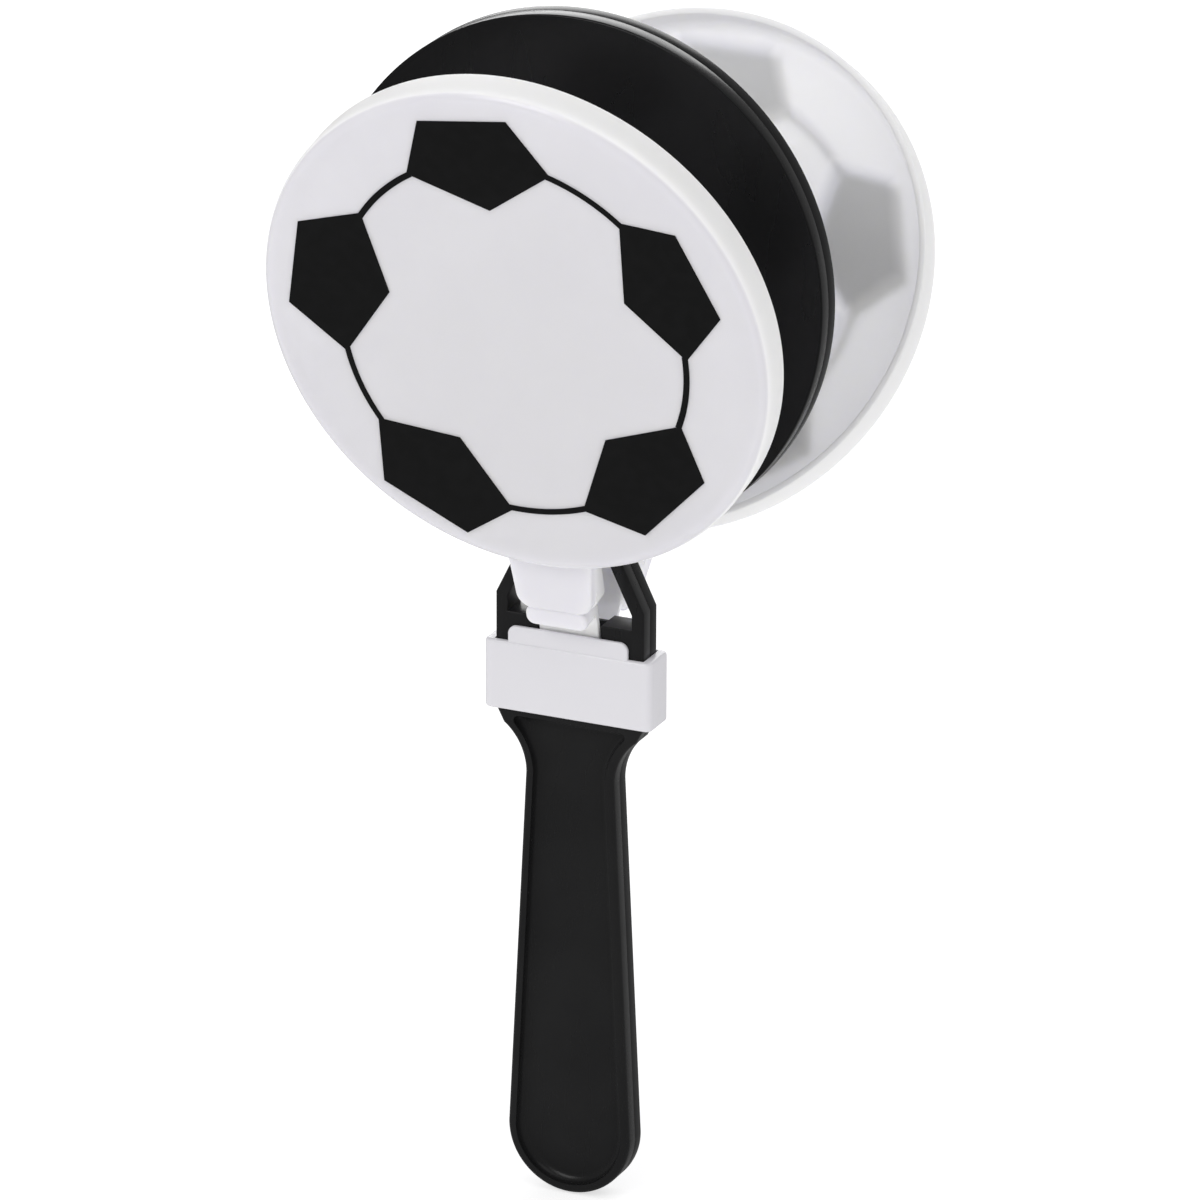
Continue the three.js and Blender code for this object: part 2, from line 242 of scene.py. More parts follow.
def remap(nodes, links, value, fromLow, fromHigh, low, high, eased=False):
    node = nodes.new("ShaderNodeMapRange")
    node.interpolation_type = "SMOOTHSTEP" if eased else "LINEAR"
    links.new(value, node.inputs["Value"])
    ends = {"From Min": fromLow, "From Max": fromHigh, "To Min": low, "To Max": high}
    for socket, number in ends.items():
        node.inputs[socket].default_value = number
    return node.outputs["Result"]


def mixColour(nodes, links, amount, first, second):
    node = nodes.new("ShaderNodeMix")
    node.data_type = "RGBA"
    links.new(amount, node.inputs["Factor"])
    for socket, value in ((node.inputs["A"], first), (node.inputs["B"], second)):
        if isinstance(value, tuple):
            socket.default_value = (*value, 1)
        else:
            links.new(value, socket)
    return node.outputs["Result"]


def dimShine(shader, share):
    # Reflection seen face on falls to this share; at a flat angle it stays whole
    shader.inputs["Specular Tint"].default_value = (share, share, share, 1)


def addBump(nodes, links, shader, layers):
    last = None
    for height, strength, distance in layers:
        bump = nodes.new("ShaderNodeBump")
        bump.inputs["Strength"].default_value = strength
        bump.inputs["Distance"].default_value = distance * mm
        links.new(height, bump.inputs["Height"])
        if last:
            links.new(last, bump.inputs["Normal"])
        last = bump.outputs["Normal"]
    links.new(last, shader.inputs["Normal"])


plate = {  # one moulding, in its own frame: the pin lies on X, the face looks along -Y
    "radius": 60.0, "depth": 8.8, "wall": 1.6, "edge": 2.4, "innerEdge": 2.4, "lipRound": 0.35,
    "face": 10.75,        # from the pin's axis to the printed face
    "reach": 90.65,       # from the pin's axis to the middle of the plate
    "sides": 192,
    "tongueTop": 20.6, "tongueBottom": 17.7, "tongueSetback": 4.75, "tongueRise": 16.35,
    "tongueCorner": 3.4, "tongueEdge": 0.7,
    "tongueBackWidth": 18.8, "tongueBackTop": 29.15, "tongueBackEdge": 0.3,
    "legClearance": 2.1,
    "beadWidth": 14.8, "beadBottom": 11.95, "beadTop": 16.75, "beadCorner": 2.1, "beadEdge": 1.0,
    "webWidth": 14.3, "webBack": 1.2, "webFront": -0.1,
    "pinRadius": 1.75, "pinLength": 29.5, "pinEdge": 0.7, "pinSides": 40,
    # How far each part runs into its neighbour before they are joined
    "sink": {"tongue": 0.9, "tongueBack": 1.0, "bead": 0.3, "web": 0.8},
}

motif = {  # the print: five pentagons on a ring, joined by arcs
    "inner": 31.0, "side": 42.8, "outer": 53.4,
    "sideAngle": 23.6, "outerAngle": 11.8,
    "line": 1.45, "lineSteps": 20, "count": 5,
    "lineSink": 0.4, "lineTuck": 0.02,  # how far inward a line starts, and its tuck in radians
    "smoothLimit": 20,
    "proud": 0.03, "thickness": 0.05,  # the ink stands a hair proud of the face and reaches into it
    "turn": {"front": 6.7, "rear": 0.4},
    # The front print is uneven: how far the corners of each pentagon lie off, across and up
    "drift": {"rear": [[(0, 0)] * 5] * 5, "front": (
        ((1.5, 0.4), (0.7, 1.0), (-0.7, 1.0), (-0.3, 0.7), (0.3, 0.6)),
        ((1.6, 0.5), (1.5, 1.4), (-0.1, 0.4), (-0.5, 0.6), (0.8, -1.2)),
        ((-0.6, -1.4), (-1.2, -0.8), (-0.7, -2.7), (-0.6, -2.4), (-0.5, -2.7)),
        ((-1.4, -0.5), (-1.7, -2.2), (-0.6, -0.8), (-1.0, 0.6), (-1.0, 0.5)),
        ((-0.5, -0.3), (-1.6, -0.5), (-1.8, 0.3), (-1.4, 0.0), (0.0, 0.9)),
    )},
    "shadowShift": {"front": (0, 0), "rear": (2.4, 1.9)},  # its shadow inside, moved by the light
}


def motifDistance(nodes, links, parts, side):
    # How many millimetres a point of the plate lies outside the nearest pentagon, and off the ring
    across, up = motif["shadowShift"][side]
    x = mathNode(nodes, links, "MULTIPLY_ADD", parts.outputs["X"], 1 / mm, -across)
    z = mathNode(nodes, links, "MULTIPLY_ADD", parts.outputs["Z"], 1 / mm, -up - plate["reach"])
    radius = mathNode(nodes, links, "SQRT", mathNode(
        nodes, links, "ADD",
        mathNode(nodes, links, "MULTIPLY", x, x), mathNode(nodes, links, "MULTIPLY", z, z)))
    angle = mathNode(nodes, links, "SUBTRACT", mathNode(nodes, links, "ARCTAN2", z, x),
                     math.radians(90 + motif["turn"][side]))
    folded = mathNode(nodes, links, "PINGPONG", angle, math.pi / motif["count"])
    u = mathNode(nodes, links, "MULTIPLY", radius, mathNode(nodes, links, "COSINE", folded))
    v = mathNode(nodes, links, "MULTIPLY", radius, mathNode(nodes, links, "SINE", folded))
    tip, flank, outer = (
        arcPoints(0, 0, motif[name], turn, turn, 1)[0]
        for name, turn in (("inner", 0), ("side", motif["sideAngle"]),
                           ("outer", motif["outerAngle"])))
    edges = []
    for a, b in ((tip, flank), (flank, outer)):
        along = Vector((b[0] - a[0], b[1] - a[1])).normalized()
        normal = (-along.y, along.x)
        offset = -(normal[0] * a[0] + normal[1] * a[1])
        edges.append(mathNode(nodes, links, "ADD",
                              mathNode(nodes, links, "MULTIPLY", u, normal[0]),
                              mathNode(nodes, links, "MULTIPLY_ADD", v, normal[1], offset)))
    pentagon = mathNode(nodes, links, "MAXIMUM", mathNode(nodes, links, "MAXIMUM", *edges),
                        mathNode(nodes, links, "SUBTRACT", u, outer[0]))
    ring = mathNode(nodes, links, "ABSOLUTE",
                    mathNode(nodes, links, "SUBTRACT", radius, motif["side"]))
    return pentagon, ring


def whitePlastic(name, hingeSide=None):
    settings = {
        "colour": (0.72, 0.71, 0.745) if hingeSide else (0.75, 0.74, 0.775),
        "shade": (0.695, 0.685, 0.72) if hingeSide else (0.73, 0.72, 0.755),
        # Painted light: behind the face, on the outside of the skirt and on the hollow side, the
        # plates are painted lighter than on the face, for the light that comes through the plastic
        "inside": (0.92, 0.912, 0.95), "paintedPrintShadow": (0.70, 0.70, 0.72),
        "tongue": (0.755, 0.745, 0.78),  # painted tone of the tongue's outer side, which less light leaves: darker than the painted lighter inside
        "roughness": (0.17, 0.26), "insideRoughness": 0.5, "ior": 1.49,
        "scatter": 0.85 if hingeSide else 0.1, "scatterRadius": (4.0, 4.0, 4.4),
        # Scale and detail of each noise, and the range of it that is used
        "clouds": (28.0, 4.0), "patches": (60.0, 5.0), "waves": (30.0, 2.0), "grain": (900.0, 3.0),
        "cloudRange": (0.35, 0.7), "patchRange": (0.3, 0.7),
        # Strength and height of each bump
        "waveBump": (0.16, 0.5), "grainBump": (0.08, 0.02),
        # Where the painted lighter inside starts, in millimetres behind the face, and where the
        # tongue's painted tone fades, behind the tongue's front
        "insideDepth": (0.6, 1.2), "tongueDepth": (1.0, 3.0), "tongueFade": 3.0,
        # How softly the painted shadow of the print's pentagons and lines fades, in millimetres
        "pentagonBlur": (-2.0, 1.8), "lineBlur": 2.4, "lineShare": 0.5, "lineKeptOff": 2.0,
    }
    material, nodes, links, shader = startMaterial(name)
    place = nodes.new("ShaderNodeTexCoord").outputs["Object"]
    clouds = noiseAt(nodes, links, place, *settings["clouds"])
    colour = mixColour(nodes, links, remap(nodes, links, clouds, *settings["cloudRange"], 0, 1),
                       settings["colour"], settings["shade"])
    patches = noiseAt(nodes, links, place, *settings["patches"])
    roughness = remap(nodes, links, patches, *settings["patchRange"], *settings["roughness"])
    if hingeSide:  # painted shadow of the print on the hollow side of the plate, where the print would show through
        turned = nodes.new("ShaderNodeMapping")
        turned.vector_type = "TEXTURE"
        hungPlace, hungTurn = hungPose(hingeSide)
        turned.inputs["Location"].default_value = hungPlace
        turned.inputs["Rotation"].default_value = hungTurn
        links.new(place, turned.inputs["Vector"])
        parts = nodes.new("ShaderNodeSeparateXYZ")
        links.new(turned.outputs["Vector"], parts.inputs["Vector"])
        pentagon, ring = motifDistance(nodes, links, parts, hingeSide)
        blurred = remap(nodes, links, pentagon, *settings["pentagonBlur"], 1, 0, eased=True)
        line = remap(nodes, links, ring, 0, settings["lineBlur"], settings["lineShare"], 0,
                     eased=True)
        outside = remap(nodes, links, pentagon, 0, settings["lineKeptOff"], 0, 1)
        shadow = mathNode(nodes, links, "MAXIMUM", blurred,
                          mathNode(nodes, links, "MULTIPLY", line, outside))
        # Painted light: behind the face the plate is painted lighter
        start, end = ((depth - plate["face"]) * mm for depth in settings["insideDepth"])
        inside = remap(nodes, links, parts.outputs["Y"], start, end, 0, 1)
        colour = mixColour(nodes, links, inside, colour, settings["inside"])
        # Painted shadow of the print, laid over the painted lighter inside
        colour = mixColour(nodes, links, mathNode(nodes, links, "MULTIPLY", shadow, inside),
                           colour, settings["paintedPrintShadow"])
        # Painted tone on the tongue's outer side, below the dish
        rim = plate["reach"] - plate["radius"]
        below = remap(nodes, links, parts.outputs["Z"],
                      rim * mm, (rim + settings["tongueFade"]) * mm, 1, 0, eased=True)
        start, end = ((plate["tongueSetback"] - plate["face"] + depth) * mm
                      for depth in settings["tongueDepth"])
        outer = remap(nodes, links, parts.outputs["Y"], start, end, 1, 0)
        colour = mixColour(nodes, links, mathNode(nodes, links, "MULTIPLY", below, outer),
                           colour, settings["tongue"])
        matt = mathNode(nodes, links, "MULTIPLY", inside, settings["insideRoughness"])
        roughness = mathNode(nodes, links, "MAXIMUM", roughness, matt)
    links.new(colour, shader.inputs["Base Color"])
    links.new(roughness, shader.inputs["Roughness"])
    shader.inputs["Subsurface Weight"].default_value = settings["scatter"]
    shader.inputs["Subsurface Radius"].default_value = [r * mm for r in settings["scatterRadius"]]
    shader.inputs["Subsurface Scale"].default_value = 1.0
    shader.inputs["IOR"].default_value = settings["ior"]
    addBump(nodes, links, shader, (
        (noiseAt(nodes, links, place, *settings["waves"]), *settings["waveBump"]),
        (noiseAt(nodes, links, place, *settings["grain"]), *settings["grainBump"]),
    ))
    return material


def blackPlastic():
    settings = {
        "colour": (0.0060, 0.0060, 0.0064),
        "grip": (0.0100, 0.0100, 0.0104), "worn": (0.0135, 0.0135, 0.0138),
        "discRoughness": 0.25, "gripRoughness": 0.27, "changeFrom": 92.0, "changeTo": 104.0,
        "faceOnShine": 0.45, "ior": 1.5,
        # Scale and detail of each noise, and for the scuffs the stretch too
        "mottle": (45.0, 5.0), "scuffs": (120.0, 6.0, (1, 1, 0.25)),
        "waves": (14.0, 2.0), "grain": (2600.0, 2.0),
        "mottleRange": (0.4, 0.75), "scuffRange": (0.35, 0.75), "scuffChange": (-0.02, 0.05),
        # Strength and height of each bump
        "waveBump": (0.08, 0.5), "grainBump": (0.25, 0.02),
    }
    material, nodes, links, shader = startMaterial("blackPlastic")
    place = nodes.new("ShaderNodeTexCoord").outputs["Object"]
    parts = nodes.new("ShaderNodeSeparateXYZ")
    links.new(place, parts.inputs["Vector"])
    grip = remap(nodes, links, parts.outputs["Z"], settings["changeFrom"] * mm,
                 settings["changeTo"] * mm, 1, 0, eased=True)
    mottle = remap(nodes, links, noiseAt(nodes, links, place, *settings["mottle"]),
                   *settings["mottleRange"], 0, 1)
    handled = mixColour(nodes, links, mottle, settings["grip"], settings["worn"])
    links.new(mixColour(nodes, links, grip, settings["colour"], handled),
              shader.inputs["Base Color"])
    base = remap(nodes, links, grip, 0, 1, settings["discRoughness"], settings["gripRoughness"])
    scuffs = remap(nodes, links, noiseAt(nodes, links, place, *settings["scuffs"]),
                   *settings["scuffRange"], *settings["scuffChange"])
    links.new(mathNode(nodes, links, "ADD", base, scuffs), shader.inputs["Roughness"])
    shader.inputs["IOR"].default_value = settings["ior"]
    dimShine(shader, settings["faceOnShine"])
    grain = mathNode(nodes, links, "MULTIPLY",
                     noiseAt(nodes, links, place, *settings["grain"]), grip)
    addBump(nodes, links, shader, (
        (noiseAt(nodes, links, place, *settings["waves"]), *settings["waveBump"]),
        (grain, *settings["grainBump"]),
    ))
    return material


def printInk():
    settings = {
        "colour": (0.0028, 0.0028, 0.0030), "thin": (0.0042, 0.0042, 0.0045),
        "roughness": (0.34, 0.46), "faceOnShine": 0.35,
        "cover": (350.0, 4.0), "coverRange": (0.4, 0.7), "coverBump": (0.08, 0.02),
        "patches": (90.0, 3.0), "patchRange": (0.3, 0.7),
    }
    material, nodes, links, shader = startMaterial("printInk")
    place = nodes.new("ShaderNodeTexCoord").outputs["Object"]
    cover = noiseAt(nodes, links, place, *settings["cover"])
    thin = remap(nodes, links, cover, *settings["coverRange"], 0, 1)
    links.new(mixColour(nodes, links, thin, settings["colour"], settings["thin"]),
              shader.inputs["Base Color"])
    patches = noiseAt(nodes, links, place, *settings["patches"])
    links.new(remap(nodes, links, patches, *settings["patchRange"], *settings["roughness"]),
              shader.inputs["Roughness"])
    dimShine(shader, settings["faceOnShine"])
    addBump(nodes, links, shader, ((cover, *settings["coverBump"]),))
    return material


frontWhite = whitePlastic("frontPlateWhite", "front")
rearWhite = whitePlastic("rearPlateWhite", "rear")
collarWhite = whitePlastic("collarWhite")
black = blackPlastic()
ink = printInk()


def dress(piece, material):
    piece.data.materials.clear()
    piece.data.materials.append(material)


print("materials ready")


def makeDish():
    face, reach = -plate["face"], plate["reach"]
    lip = face + plate["depth"]
    dish = addBar("dish", plate["radius"], (0, face, reach), (0, lip, reach), "Y", plate["sides"])
    pickFaces(dish, lambda normal, centre: normal.y > facing)
    bpy.ops.mesh.inset(thickness=plate["wall"] * mm)
    hollow = plate["depth"] - plate["wall"]
    bpy.ops.mesh.extrude_region_move(TRANSFORM_OT_translate={"value": (0, -hollow * mm, 0)})
    bpy.ops.object.mode_set(mode="OBJECT")

    def onRing(level, radius):
        def test(a, b):
            return all(abs(v.y - level) < touch
                       and abs(math.hypot(v.x, v.z - reach) - radius) < touch for v in (a, b))
        return test

    inner = plate["radius"] - plate["wall"]
    roundEdges(dish, onRing(face, plate["radius"]), plate["edge"], steps=10)
    roundEdges(dish, onRing(face + plate["wall"], inner), plate["innerEdge"], steps=8)
    for radius in (plate["radius"], inner):
        roundEdges(dish, onRing(lip, radius), plate["lipRound"], steps=3)
    return dish


def makeTongue():
    front = plate["tongueSetback"] - plate["face"]
    half = plate["tongueBottom"] / 2
    low, top = plate["tongueRise"], plate["reach"] - plate["radius"] + plate["sink"]["tongue"]
    tongue = addBox("tongue", (-half, front, low), (half, -plate["legClearance"], top))
    widenFace(tongue, lambda normal, centre: normal.z > facing,
              (plate["tongueTop"] / plate["tongueBottom"], 1, 1))
    roundEdges(tongue, lambda a, b: max(a.z, b.z) < low + touch and abs(a.x - b.x) < touch,
               plate["tongueCorner"], steps=10)
    roundEdges(tongue, lambda a, b: max(a.y, b.y) < front + touch and min(a.z, b.z) < top - touch,
               plate["tongueEdge"], steps=5)
    return tongue


def makeTongueBack():
    half, low, back = plate["tongueBackWidth"] / 2, plate["tongueRise"], plate["webBack"]
    block = addBox("tongueBack", (-half, -plate["legClearance"] - plate["sink"]["tongueBack"], low),
                   (half, back, plate["tongueBackTop"]))
    roundEdges(block, lambda a, b: max(a.z, b.z) < low + touch and abs(a.x - b.x) < touch,
               plate["tongueCorner"], steps=10)
    roundEdges(block, lambda a, b: min(a.y, b.y) > back - touch, plate["tongueBackEdge"], steps=3)
    return block


def makeBead():
    half, low, high = plate["beadWidth"] / 2, plate["beadBottom"], plate["beadTop"]
    front = plate["tongueSetback"] - plate["face"]
    bead = addBox("bead", (-half, front, low),
                  (half, plate["webFront"] + plate["sink"]["bead"], high))
    roundEdges(bead, lambda a, b: abs(a.x - b.x) < touch and abs(a.z - b.z) < touch,
               plate["beadCorner"], steps=10)
    roundEdges(bead, lambda a, b: max(a.y, b.y) < front + touch, plate["beadEdge"], steps=6)
    return bead


def makePlate():
    body = makeDish()
    half = plate["webWidth"] / 2
    web = addBox("web", (-half, plate["webFront"], 0),
                 (half, plate["webBack"] - touch, plate["tongueRise"] + plate["sink"]["web"]))
    end = plate["pinLength"] / 2
    pin = addBar("pin", plate["pinRadius"], (-end, 0, 0), (end, 0, 0), "X", plate["pinSides"])
    roundEdges(pin, lambda a, b: abs(a.x - b.x) < touch and abs(abs(a.x) - end) < touch,
               plate["pinEdge"], steps=4)
    for part in (makeTongue(), makeTongueBack(), makeBead(), web, pin):
        combine(body, part, "UNION")
    smooth(body)
    return body


def hang(piece, side):
    piece.location, piece.rotation_euler = hungPose(side)
    settle(piece)


rearPlate = makePlate()
rearPlate.name = "rearPlate"
frontPlate = copyOf(rearPlate, "frontPlate")
for piece, side, material in ((frontPlate, "front", frontWhite), (rearPlate, "rear", rearWhite)):
    hang(piece, side)
    dress(piece, material)
    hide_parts(side + "_plate")
    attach(piece, side + "_clapper")
print("plates ready")


def pentagonCorners(side, number):
    middle = 90 + motif["turn"][side] + number * 360 / motif["count"]
    places = ((motif["inner"], 0), (motif["side"], -motif["sideAngle"]),
              (motif["outer"], -motif["outerAngle"]), (motif["outer"], motif["outerAngle"]),
              (motif["side"], motif["sideAngle"]))
    even = [arcPoints(0, 0, radius, middle + off, middle, 1)[0] for radius, off in places]
    return [(x + dx, z + dz) for (x, z), (dx, dz) in zip(even, motif["drift"][side][number])]


def joiningArc(start, end):
    # A line of even width between two corners, bent about the middle of the plate
    sink, tuck, steps = motif["lineSink"], motif["lineTuck"], motif["lineSteps"]
    half = motif["line"] / 2
    firstTurn = math.atan2(start[1], start[0]) - tuck
    lastTurn = math.atan2(end[1], end[0]) + tuck
    lastTurn += 2 * math.pi if lastTurn < firstTurn else 0
    outerSide, innerSide = [], []
    for i in range(steps + 1):
        radius = math.hypot(*start) + (math.hypot(*end) - math.hypot(*start)) * i / steps - sink
        turn = firstTurn + (lastTurn - firstTurn) * i / steps
        outerSide.append(((radius + half) * math.cos(turn), (radius + half) * math.sin(turn)))
        innerSide.append(((radius - half) * math.cos(turn), (radius - half) * math.sin(turn)))
    return outerSide + innerSide[::-1]


def makePrint(side):
    outer = -plate["face"] - motif["proud"]
    inner = outer + motif["thickness"]
    pentagons = [pentagonCorners(side, number) for number in range(motif["count"])]
    whole = None
    for number, pentagon in enumerate(pentagons):
        following = pentagons[(number + 1) % motif["count"]]
        for outline in (pentagon, joiningArc(pentagon[4], following[1])):
            part = drawOutline("motifPart", outline, outer, inner)
            whole = combine(whole, part, "UNION") if whole else part
    whole.location = (0, 0, plate["reach"] * mm)
    settle(whole)
    smooth(whole, motif["smoothLimit"])
    whole.name = side + "Print"
    return whole


for side in ("front", "rear"):
    piece = makePrint(side)
    hang(piece, side)
    dress(piece, ink)
    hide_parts(side + "_print")
    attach(piece, side + "_clapper")
print("prints ready")


collar = {
    "width": 40.7, "depth": 10.2, "bottom": 57.625, "top": 73.975,
    "corner": 1.6, "edge": 0.75, "boreWidth": 36.4, "boreDepth": 8.0,
    "lipWidth": 29.2, "lipHeight": 3.85, "lipSetback": 0.3, "lipCorner": 2.0, "lipEdge": 0.4,
    "lipFoot": 3.0, "lipBack": 0.5,  # how far the lip runs down and back before the bore is cut
    "cutPast": 2.0,                  # how far the bore's tool reaches past both ends
}


def makeCollar():
    halfWidth, halfDepth = collar["width"] / 2, collar["depth"] / 2
    bottom, top = collar["bottom"], collar["top"]
    sleeve = addBox("neckCollar", (-halfWidth, -halfDepth, bottom), (halfWidth, halfDepth, top))
    roundEdges(sleeve, lambda a, b: abs(a.z - b.z) > touch, collar["corner"], steps=6)
    roundEdges(sleeve,
               lambda a, b: abs(a.z - b.z) < touch and not bottom + touch < a.z < top - touch,
               collar["edge"], steps=5)
    boreX, boreY = collar["boreWidth"] / 2, collar["boreDepth"] / 2
    half, lipTop = collar["lipWidth"] / 2, top + collar["lipHeight"]
    front = collar["lipSetback"] - halfDepth
    lip = addBox("lip", (-half, front, top - collar["lipFoot"]),
                 (half, -boreY + collar["lipBack"], lipTop))
    roundEdges(lip, lambda a, b: min(a.z, b.z) > lipTop - touch and abs(a.x - b.x) < touch,
               collar["lipCorner"], steps=8)
    roundEdges(lip, lambda a, b: max(a.y, b.y) < front + touch and max(a.z, b.z) > top,
               collar["lipEdge"], steps=4)
    combine(sleeve, lip, "UNION")
    past = collar["cutPast"]
    bore = addBox("bore", (-boreX, -boreY, bottom - past), (boreX, boreY, lipTop + past))
    combine(sleeve, bore, "DIFFERENCE")
    smooth(sleeve)
    return sleeve


neckCollar = makeCollar()
dress(neckCollar, collarWhite)
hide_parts("neck_collar")
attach(neckCollar, "paddle")
print("collar ready")


paddle = {
    "half": 3.8,                # half of the thickness, one shell
    "discRadius": 60.0, "discHeight": 160.575,
    "neckHalf": 18.0, "legWidth": 2.9, "bend": 84.975, "lean": 26.0, "windowTopHalf": 9.9,
    "collarBottom": 57.625, "barTop": 80.775, "pocketTop": 72.875, "pocketBottom": 68.975,
    "notchHalf": 7.75, "barCore": 0.5,
    "waistHalf": 10.8, "waist": 42.975, "flareRadius": 14.0, "flareTurn": 52.0,
    "buttRadius": 15.0, "butt": -42.625,
    "panelRim": 2.0, "panelTopRim": 1.5, "panelCorner": 1.2, "panelDepth": 2.5, "panelFloor": 2.0,
    "panelRows": 7, "panelWeld": 0.12,
    "edge": 0.45, "gripEdge": 1.0, "seam": 0.14, "innerEdge": 0.25,
    "cutPast": 1.0, "notchPast": 0.5,  # how far the cutting tools reach past what they cut
    "smoothLimit": 28,
}


def paddleOutline():
    flareX = paddle["waistHalf"] + paddle["flareRadius"]
    legTop = paddle["windowTopHalf"] + paddle["legWidth"]
    lean = math.radians(paddle["lean"])
    leanTop = paddle["bend"] + (paddle["neckHalf"] - legTop) / math.tan(lean)
    join = math.degrees(math.acos(legTop / paddle["discRadius"]))
    return mirrored([
        *arcPoints(0, paddle["butt"], paddle["buttRadius"], -90, 0, steps=32),
        *arcPoints(flareX, paddle["waist"], paddle["flareRadius"], 180, 180 - paddle["flareTurn"],
                   steps=24),
        (paddle["neckHalf"], paddle["collarBottom"]),
        (paddle["neckHalf"], paddle["bend"]),
        (legTop, leanTop),
        *arcPoints(0, paddle["discHeight"], paddle["discRadius"], -join, 90, steps=96),
    ])


def windowOutline():
    inner, top = paddle["neckHalf"] - paddle["legWidth"], paddle["windowTopHalf"]
    lean = math.radians(paddle["lean"])
    bend = paddle["bend"] - paddle["legWidth"] * math.tan(lean / 2)
    leanTop = bend + (inner - top) / math.tan(lean)
    join = math.degrees(math.acos(top / paddle["discRadius"]))
    return mirrored([
        (inner, paddle["barTop"]), (inner, bend), (top, leanTop),
        *arcPoints(0, paddle["discHeight"], paddle["discRadius"], -join, -90, steps=8),
    ])


def panelOutline():
    flareX = paddle["waistHalf"] + paddle["flareRadius"]
    flare, corner = paddle["flareRadius"] + paddle["panelRim"], paddle["panelCorner"]
    cornerZ = paddle["collarBottom"] - paddle["panelTopRim"] - corner
    turn = math.asin((cornerZ - paddle["waist"]) / (flare + corner))
    cornerX = flareX - (flare + corner) * math.cos(turn)
    turn = math.degrees(turn)
    return mirrored([
        *arcPoints(0, paddle["butt"], paddle["buttRadius"] - paddle["panelRim"], -90, 0, steps=24),
        *arcPoints(flareX, paddle["waist"], flare, 180, 180 - turn, steps=16),
        *arcPoints(cornerX, cornerZ, corner, -turn, 90, steps=5)[1:],
    ])


def panelTool():
    # Straight at the rim, then rounded into the floor by ever flatter insets
    rounding, rows, weldWidth = paddle["panelFloor"], paddle["panelRows"], paddle["panelWeld"]
    wallEnd = paddle["panelDepth"] - rounding - paddle["half"]
    tool = drawOutline("panelTool", panelOutline(), -paddle["half"] - paddle["cutPast"], wallEnd)
    pickFaces(tool, lambda normal, centre: abs(normal.y) > facing and centre.y > wallEnd - touch)
    for row in range(rows):
        before, after = (math.pi / 2 * (row + step) / rows for step in (0, 1))
        bpy.ops.mesh.inset(thickness=rounding * (math.cos(before) - math.cos(after)) * mm,
                           depth=rounding * (math.sin(after) - math.sin(before)) * mm)
        if after > math.pi / 3:  # the last rows crowd at the corners
            bpy.ops.mesh.remove_doubles(threshold=weldWidth * mm)
    bpy.ops.object.mode_set(mode="OBJECT")
    return tool


def makeShell():
    front, inner = -paddle["half"], paddle["neckHalf"] - paddle["legWidth"]
    past, notchPast = paddle["cutPast"], paddle["notchPast"]

    def onFront(a, b):
        return max(a.y, b.y) < front + touch

    shell = drawOutline("shell", paddleOutline(), front, 0)
    change = paddle["collarBottom"] + touch
    roundUnevenly(shell, (
        (lambda a, b: onFront(a, b) and max(a.z, b.z) > change, paddle["edge"]),
        (lambda a, b: onFront(a, b) and max(a.z, b.z) < change, paddle["gripEdge"]),
    ), steps=5)
    roundEdges(shell, lambda a, b: min(a.y, b.y) > -touch, paddle["seam"], steps=2)
    window = drawOutline("window", windowOutline(), front - past, past)
    pocket = addBox("pocket", (-inner, front - past, paddle["pocketBottom"]),
                    (inner, past, paddle["pocketTop"]))
    notch = addBox("notch", (-paddle["notchHalf"], front - past, paddle["pocketTop"] - notchPast),
                   (paddle["notchHalf"], -paddle["barCore"], paddle["barTop"] + notchPast))
    for tool in (window, pocket, notch):
        combine(shell, tool, "DIFFERENCE")
    # The edges of the openings lie between the pocket's floor and the foot of the disc
    low, high = paddle["pocketBottom"] - touch, paddle["discHeight"] - paddle["discRadius"] + past
    roundEdges(shell, lambda a, b: onFront(a, b) and low < min(a.z, b.z) and max(a.z, b.z) < high
               and max(abs(a.x), abs(b.x)) < inner + touch,
               paddle["innerEdge"], steps=3)
    combine(shell, panelTool(), "DIFFERENCE")
    mouth = {(round(x, 1), round(z, 1)) for x, z in panelOutline()}
    roundEdges(shell, lambda a, b: onFront(a, b)
               and all((round(v.x, 1), round(v.z, 1)) in mouth for v in (a, b)),
               paddle["innerEdge"], steps=3)
    smooth(shell, paddle["smoothLimit"])
    return shell


paddleFront = makeShell()
paddleFront.name = "paddleFront"
paddleRear = copyOf(paddleFront, "paddleRear")
paddleRear.rotation_euler = (0, 0, math.pi)
settle(paddleRear)
for piece, node in ((paddleFront, "paddle_front_shell"), (paddleRear, "paddle_rear_shell")):
    dress(piece, black)
    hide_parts(node)
    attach(piece, "paddle")
print("paddle ready")

for node, material in (("paddle_front_shell", black), ("paddle_rear_shell", black),
                       ("neck_collar", collarWhite), ("front_plate", frontWhite),
                       ("rear_plate", rearWhite), ("front_print", ink), ("rear_print", ink)):
    dress(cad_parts[node], material)


studio = {
    "floorSize": 16000.0, "floorLevel": -57.9, "floorRoughness": 0.9,
    "floorColour": (0.5, 0.5, 0.505), "floorGlow": 0.65,
    "worldColour": (1.0, 1.0, 1.0), "worldStrength": 0.59,
    # What glossy surfaces mirror is darker than what lights them
    "mirroredStrength": 0.28, "mirroredFloor": (0.16, 0.16, 0.16), "mirroredGlow": 0.13,
}

lights = {  # place, size, power in watts and whether glossy surfaces mirror it; all aim at the neck
    "keyLight": ((-500, -1620, 1320), 900, 10.8, True),
    "topLight": ((550, -250, 1850), 1500, 6.0, True),
    "rimLight": ((-450, 1300, 600), 900, 6.0, True),
    "backLight": ((350, 1700, 150), 1200, 10.0, False),
}

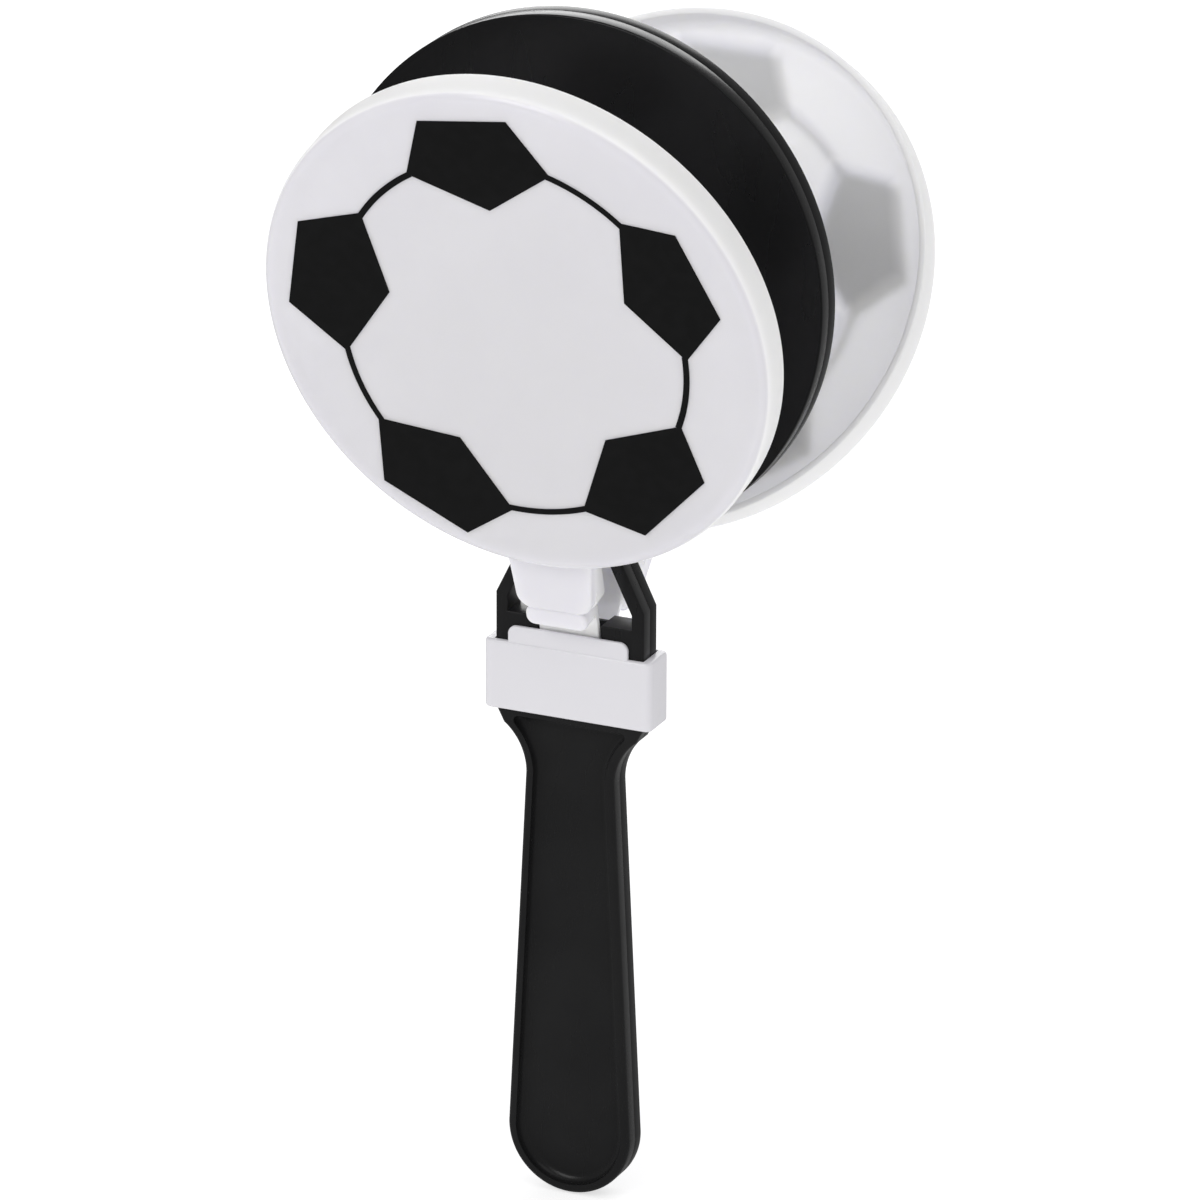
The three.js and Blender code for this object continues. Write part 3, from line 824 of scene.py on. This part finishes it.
camera = {
    "azimuth": 24.4, "elevation": 20.5, "roll": 0.2,
    "target": (4.79, 2.17, 84.435), "distance": 2170.0,
    "pixelsPerMm": 4.509, "imageWidth": 1200,
    "sensorWidth": 36.0, "nearest": 0.1, "farthest": 100.0,  # the last two in metres
}


def makeStudio():
    dropSelection()
    bpy.ops.mesh.primitive_plane_add(size=studio["floorSize"] * mm,
                                     location=(0, 0, studio["floorLevel"] * mm))
    floor = bpy.context.object
    floor.name = "floor"
    material, nodes, links, shader = startMaterial("paleFloor")
    mirrored = nodes.new("ShaderNodeLightPath").outputs["Is Glossy Ray"]
    links.new(mixColour(nodes, links, mirrored, studio["floorColour"], studio["mirroredFloor"]),
              shader.inputs["Base Color"])
    links.new(remap(nodes, links, mirrored, 0, 1, studio["floorGlow"], studio["mirroredGlow"]),
              shader.inputs["Emission Strength"])
    shader.inputs["Roughness"].default_value = studio["floorRoughness"]
    shader.inputs["Specular IOR Level"].default_value = 0.0
    shader.inputs["Emission Color"].default_value = (1, 1, 1, 1)
    dress(floor, material)
    world = bpy.data.worlds.new("studioWorld")
    bpy.context.scene.world = world
    world.use_nodes = True
    background = world.node_tree.nodes["Background"]
    background.inputs["Color"].default_value = (*studio["worldColour"], 1)
    nodes, links = world.node_tree.nodes, world.node_tree.links
    mirrored = nodes.new("ShaderNodeLightPath").outputs["Is Glossy Ray"]
    strength = remap(nodes, links, mirrored, 0, 1,
                     studio["worldStrength"], studio["mirroredStrength"])
    links.new(strength, background.inputs["Strength"])
    aim = Vector(camera["target"]) * mm
    for name, (place, size, power, mirrors) in lights.items():
        dropSelection()
        bpy.ops.object.light_add(type="AREA", location=Vector(place) * mm)
        light = bpy.context.object
        light.name = name
        light.data.size = size * mm
        light.data.energy = power
        light.visible_glossy = mirrors
        light.rotation_euler = (aim - light.location).to_track_quat("-Z", "Y").to_euler()
    bpy.context.scene.view_settings.view_transform = "Standard"


def makeCamera():
    a, e, r = (math.radians(camera[k]) for k in ("azimuth", "elevation", "roll"))
    right = Vector((math.cos(a), math.sin(a), 0))
    up = Vector((-math.sin(a) * math.sin(e), math.cos(a) * math.sin(e), math.cos(e)))
    back = Vector((math.sin(a) * math.cos(e), -math.cos(a) * math.cos(e), math.sin(e)))
    rolledRight = right * math.cos(r) + up * math.sin(r)
    rolledUp = up * math.cos(r) - right * math.sin(r)
    dropSelection()
    bpy.ops.object.camera_add()
    view = bpy.context.object
    view.name = "photoCamera"
    turn = Matrix((rolledRight, rolledUp, back)).transposed().to_4x4()
    place = (Vector(camera["target"]) + back * camera["distance"]) * mm
    view.matrix_world = Matrix.Translation(place) @ turn
    view.data.sensor_width = camera["sensorWidth"]
    view.data.lens = (camera["sensorWidth"] * camera["pixelsPerMm"] * camera["distance"]
                      / camera["imageWidth"])
    view.data.clip_start, view.data.clip_end = camera["nearest"], camera["farthest"]
    bpy.context.scene.camera = view


makeStudio()
makeCamera()
print("studio ready")
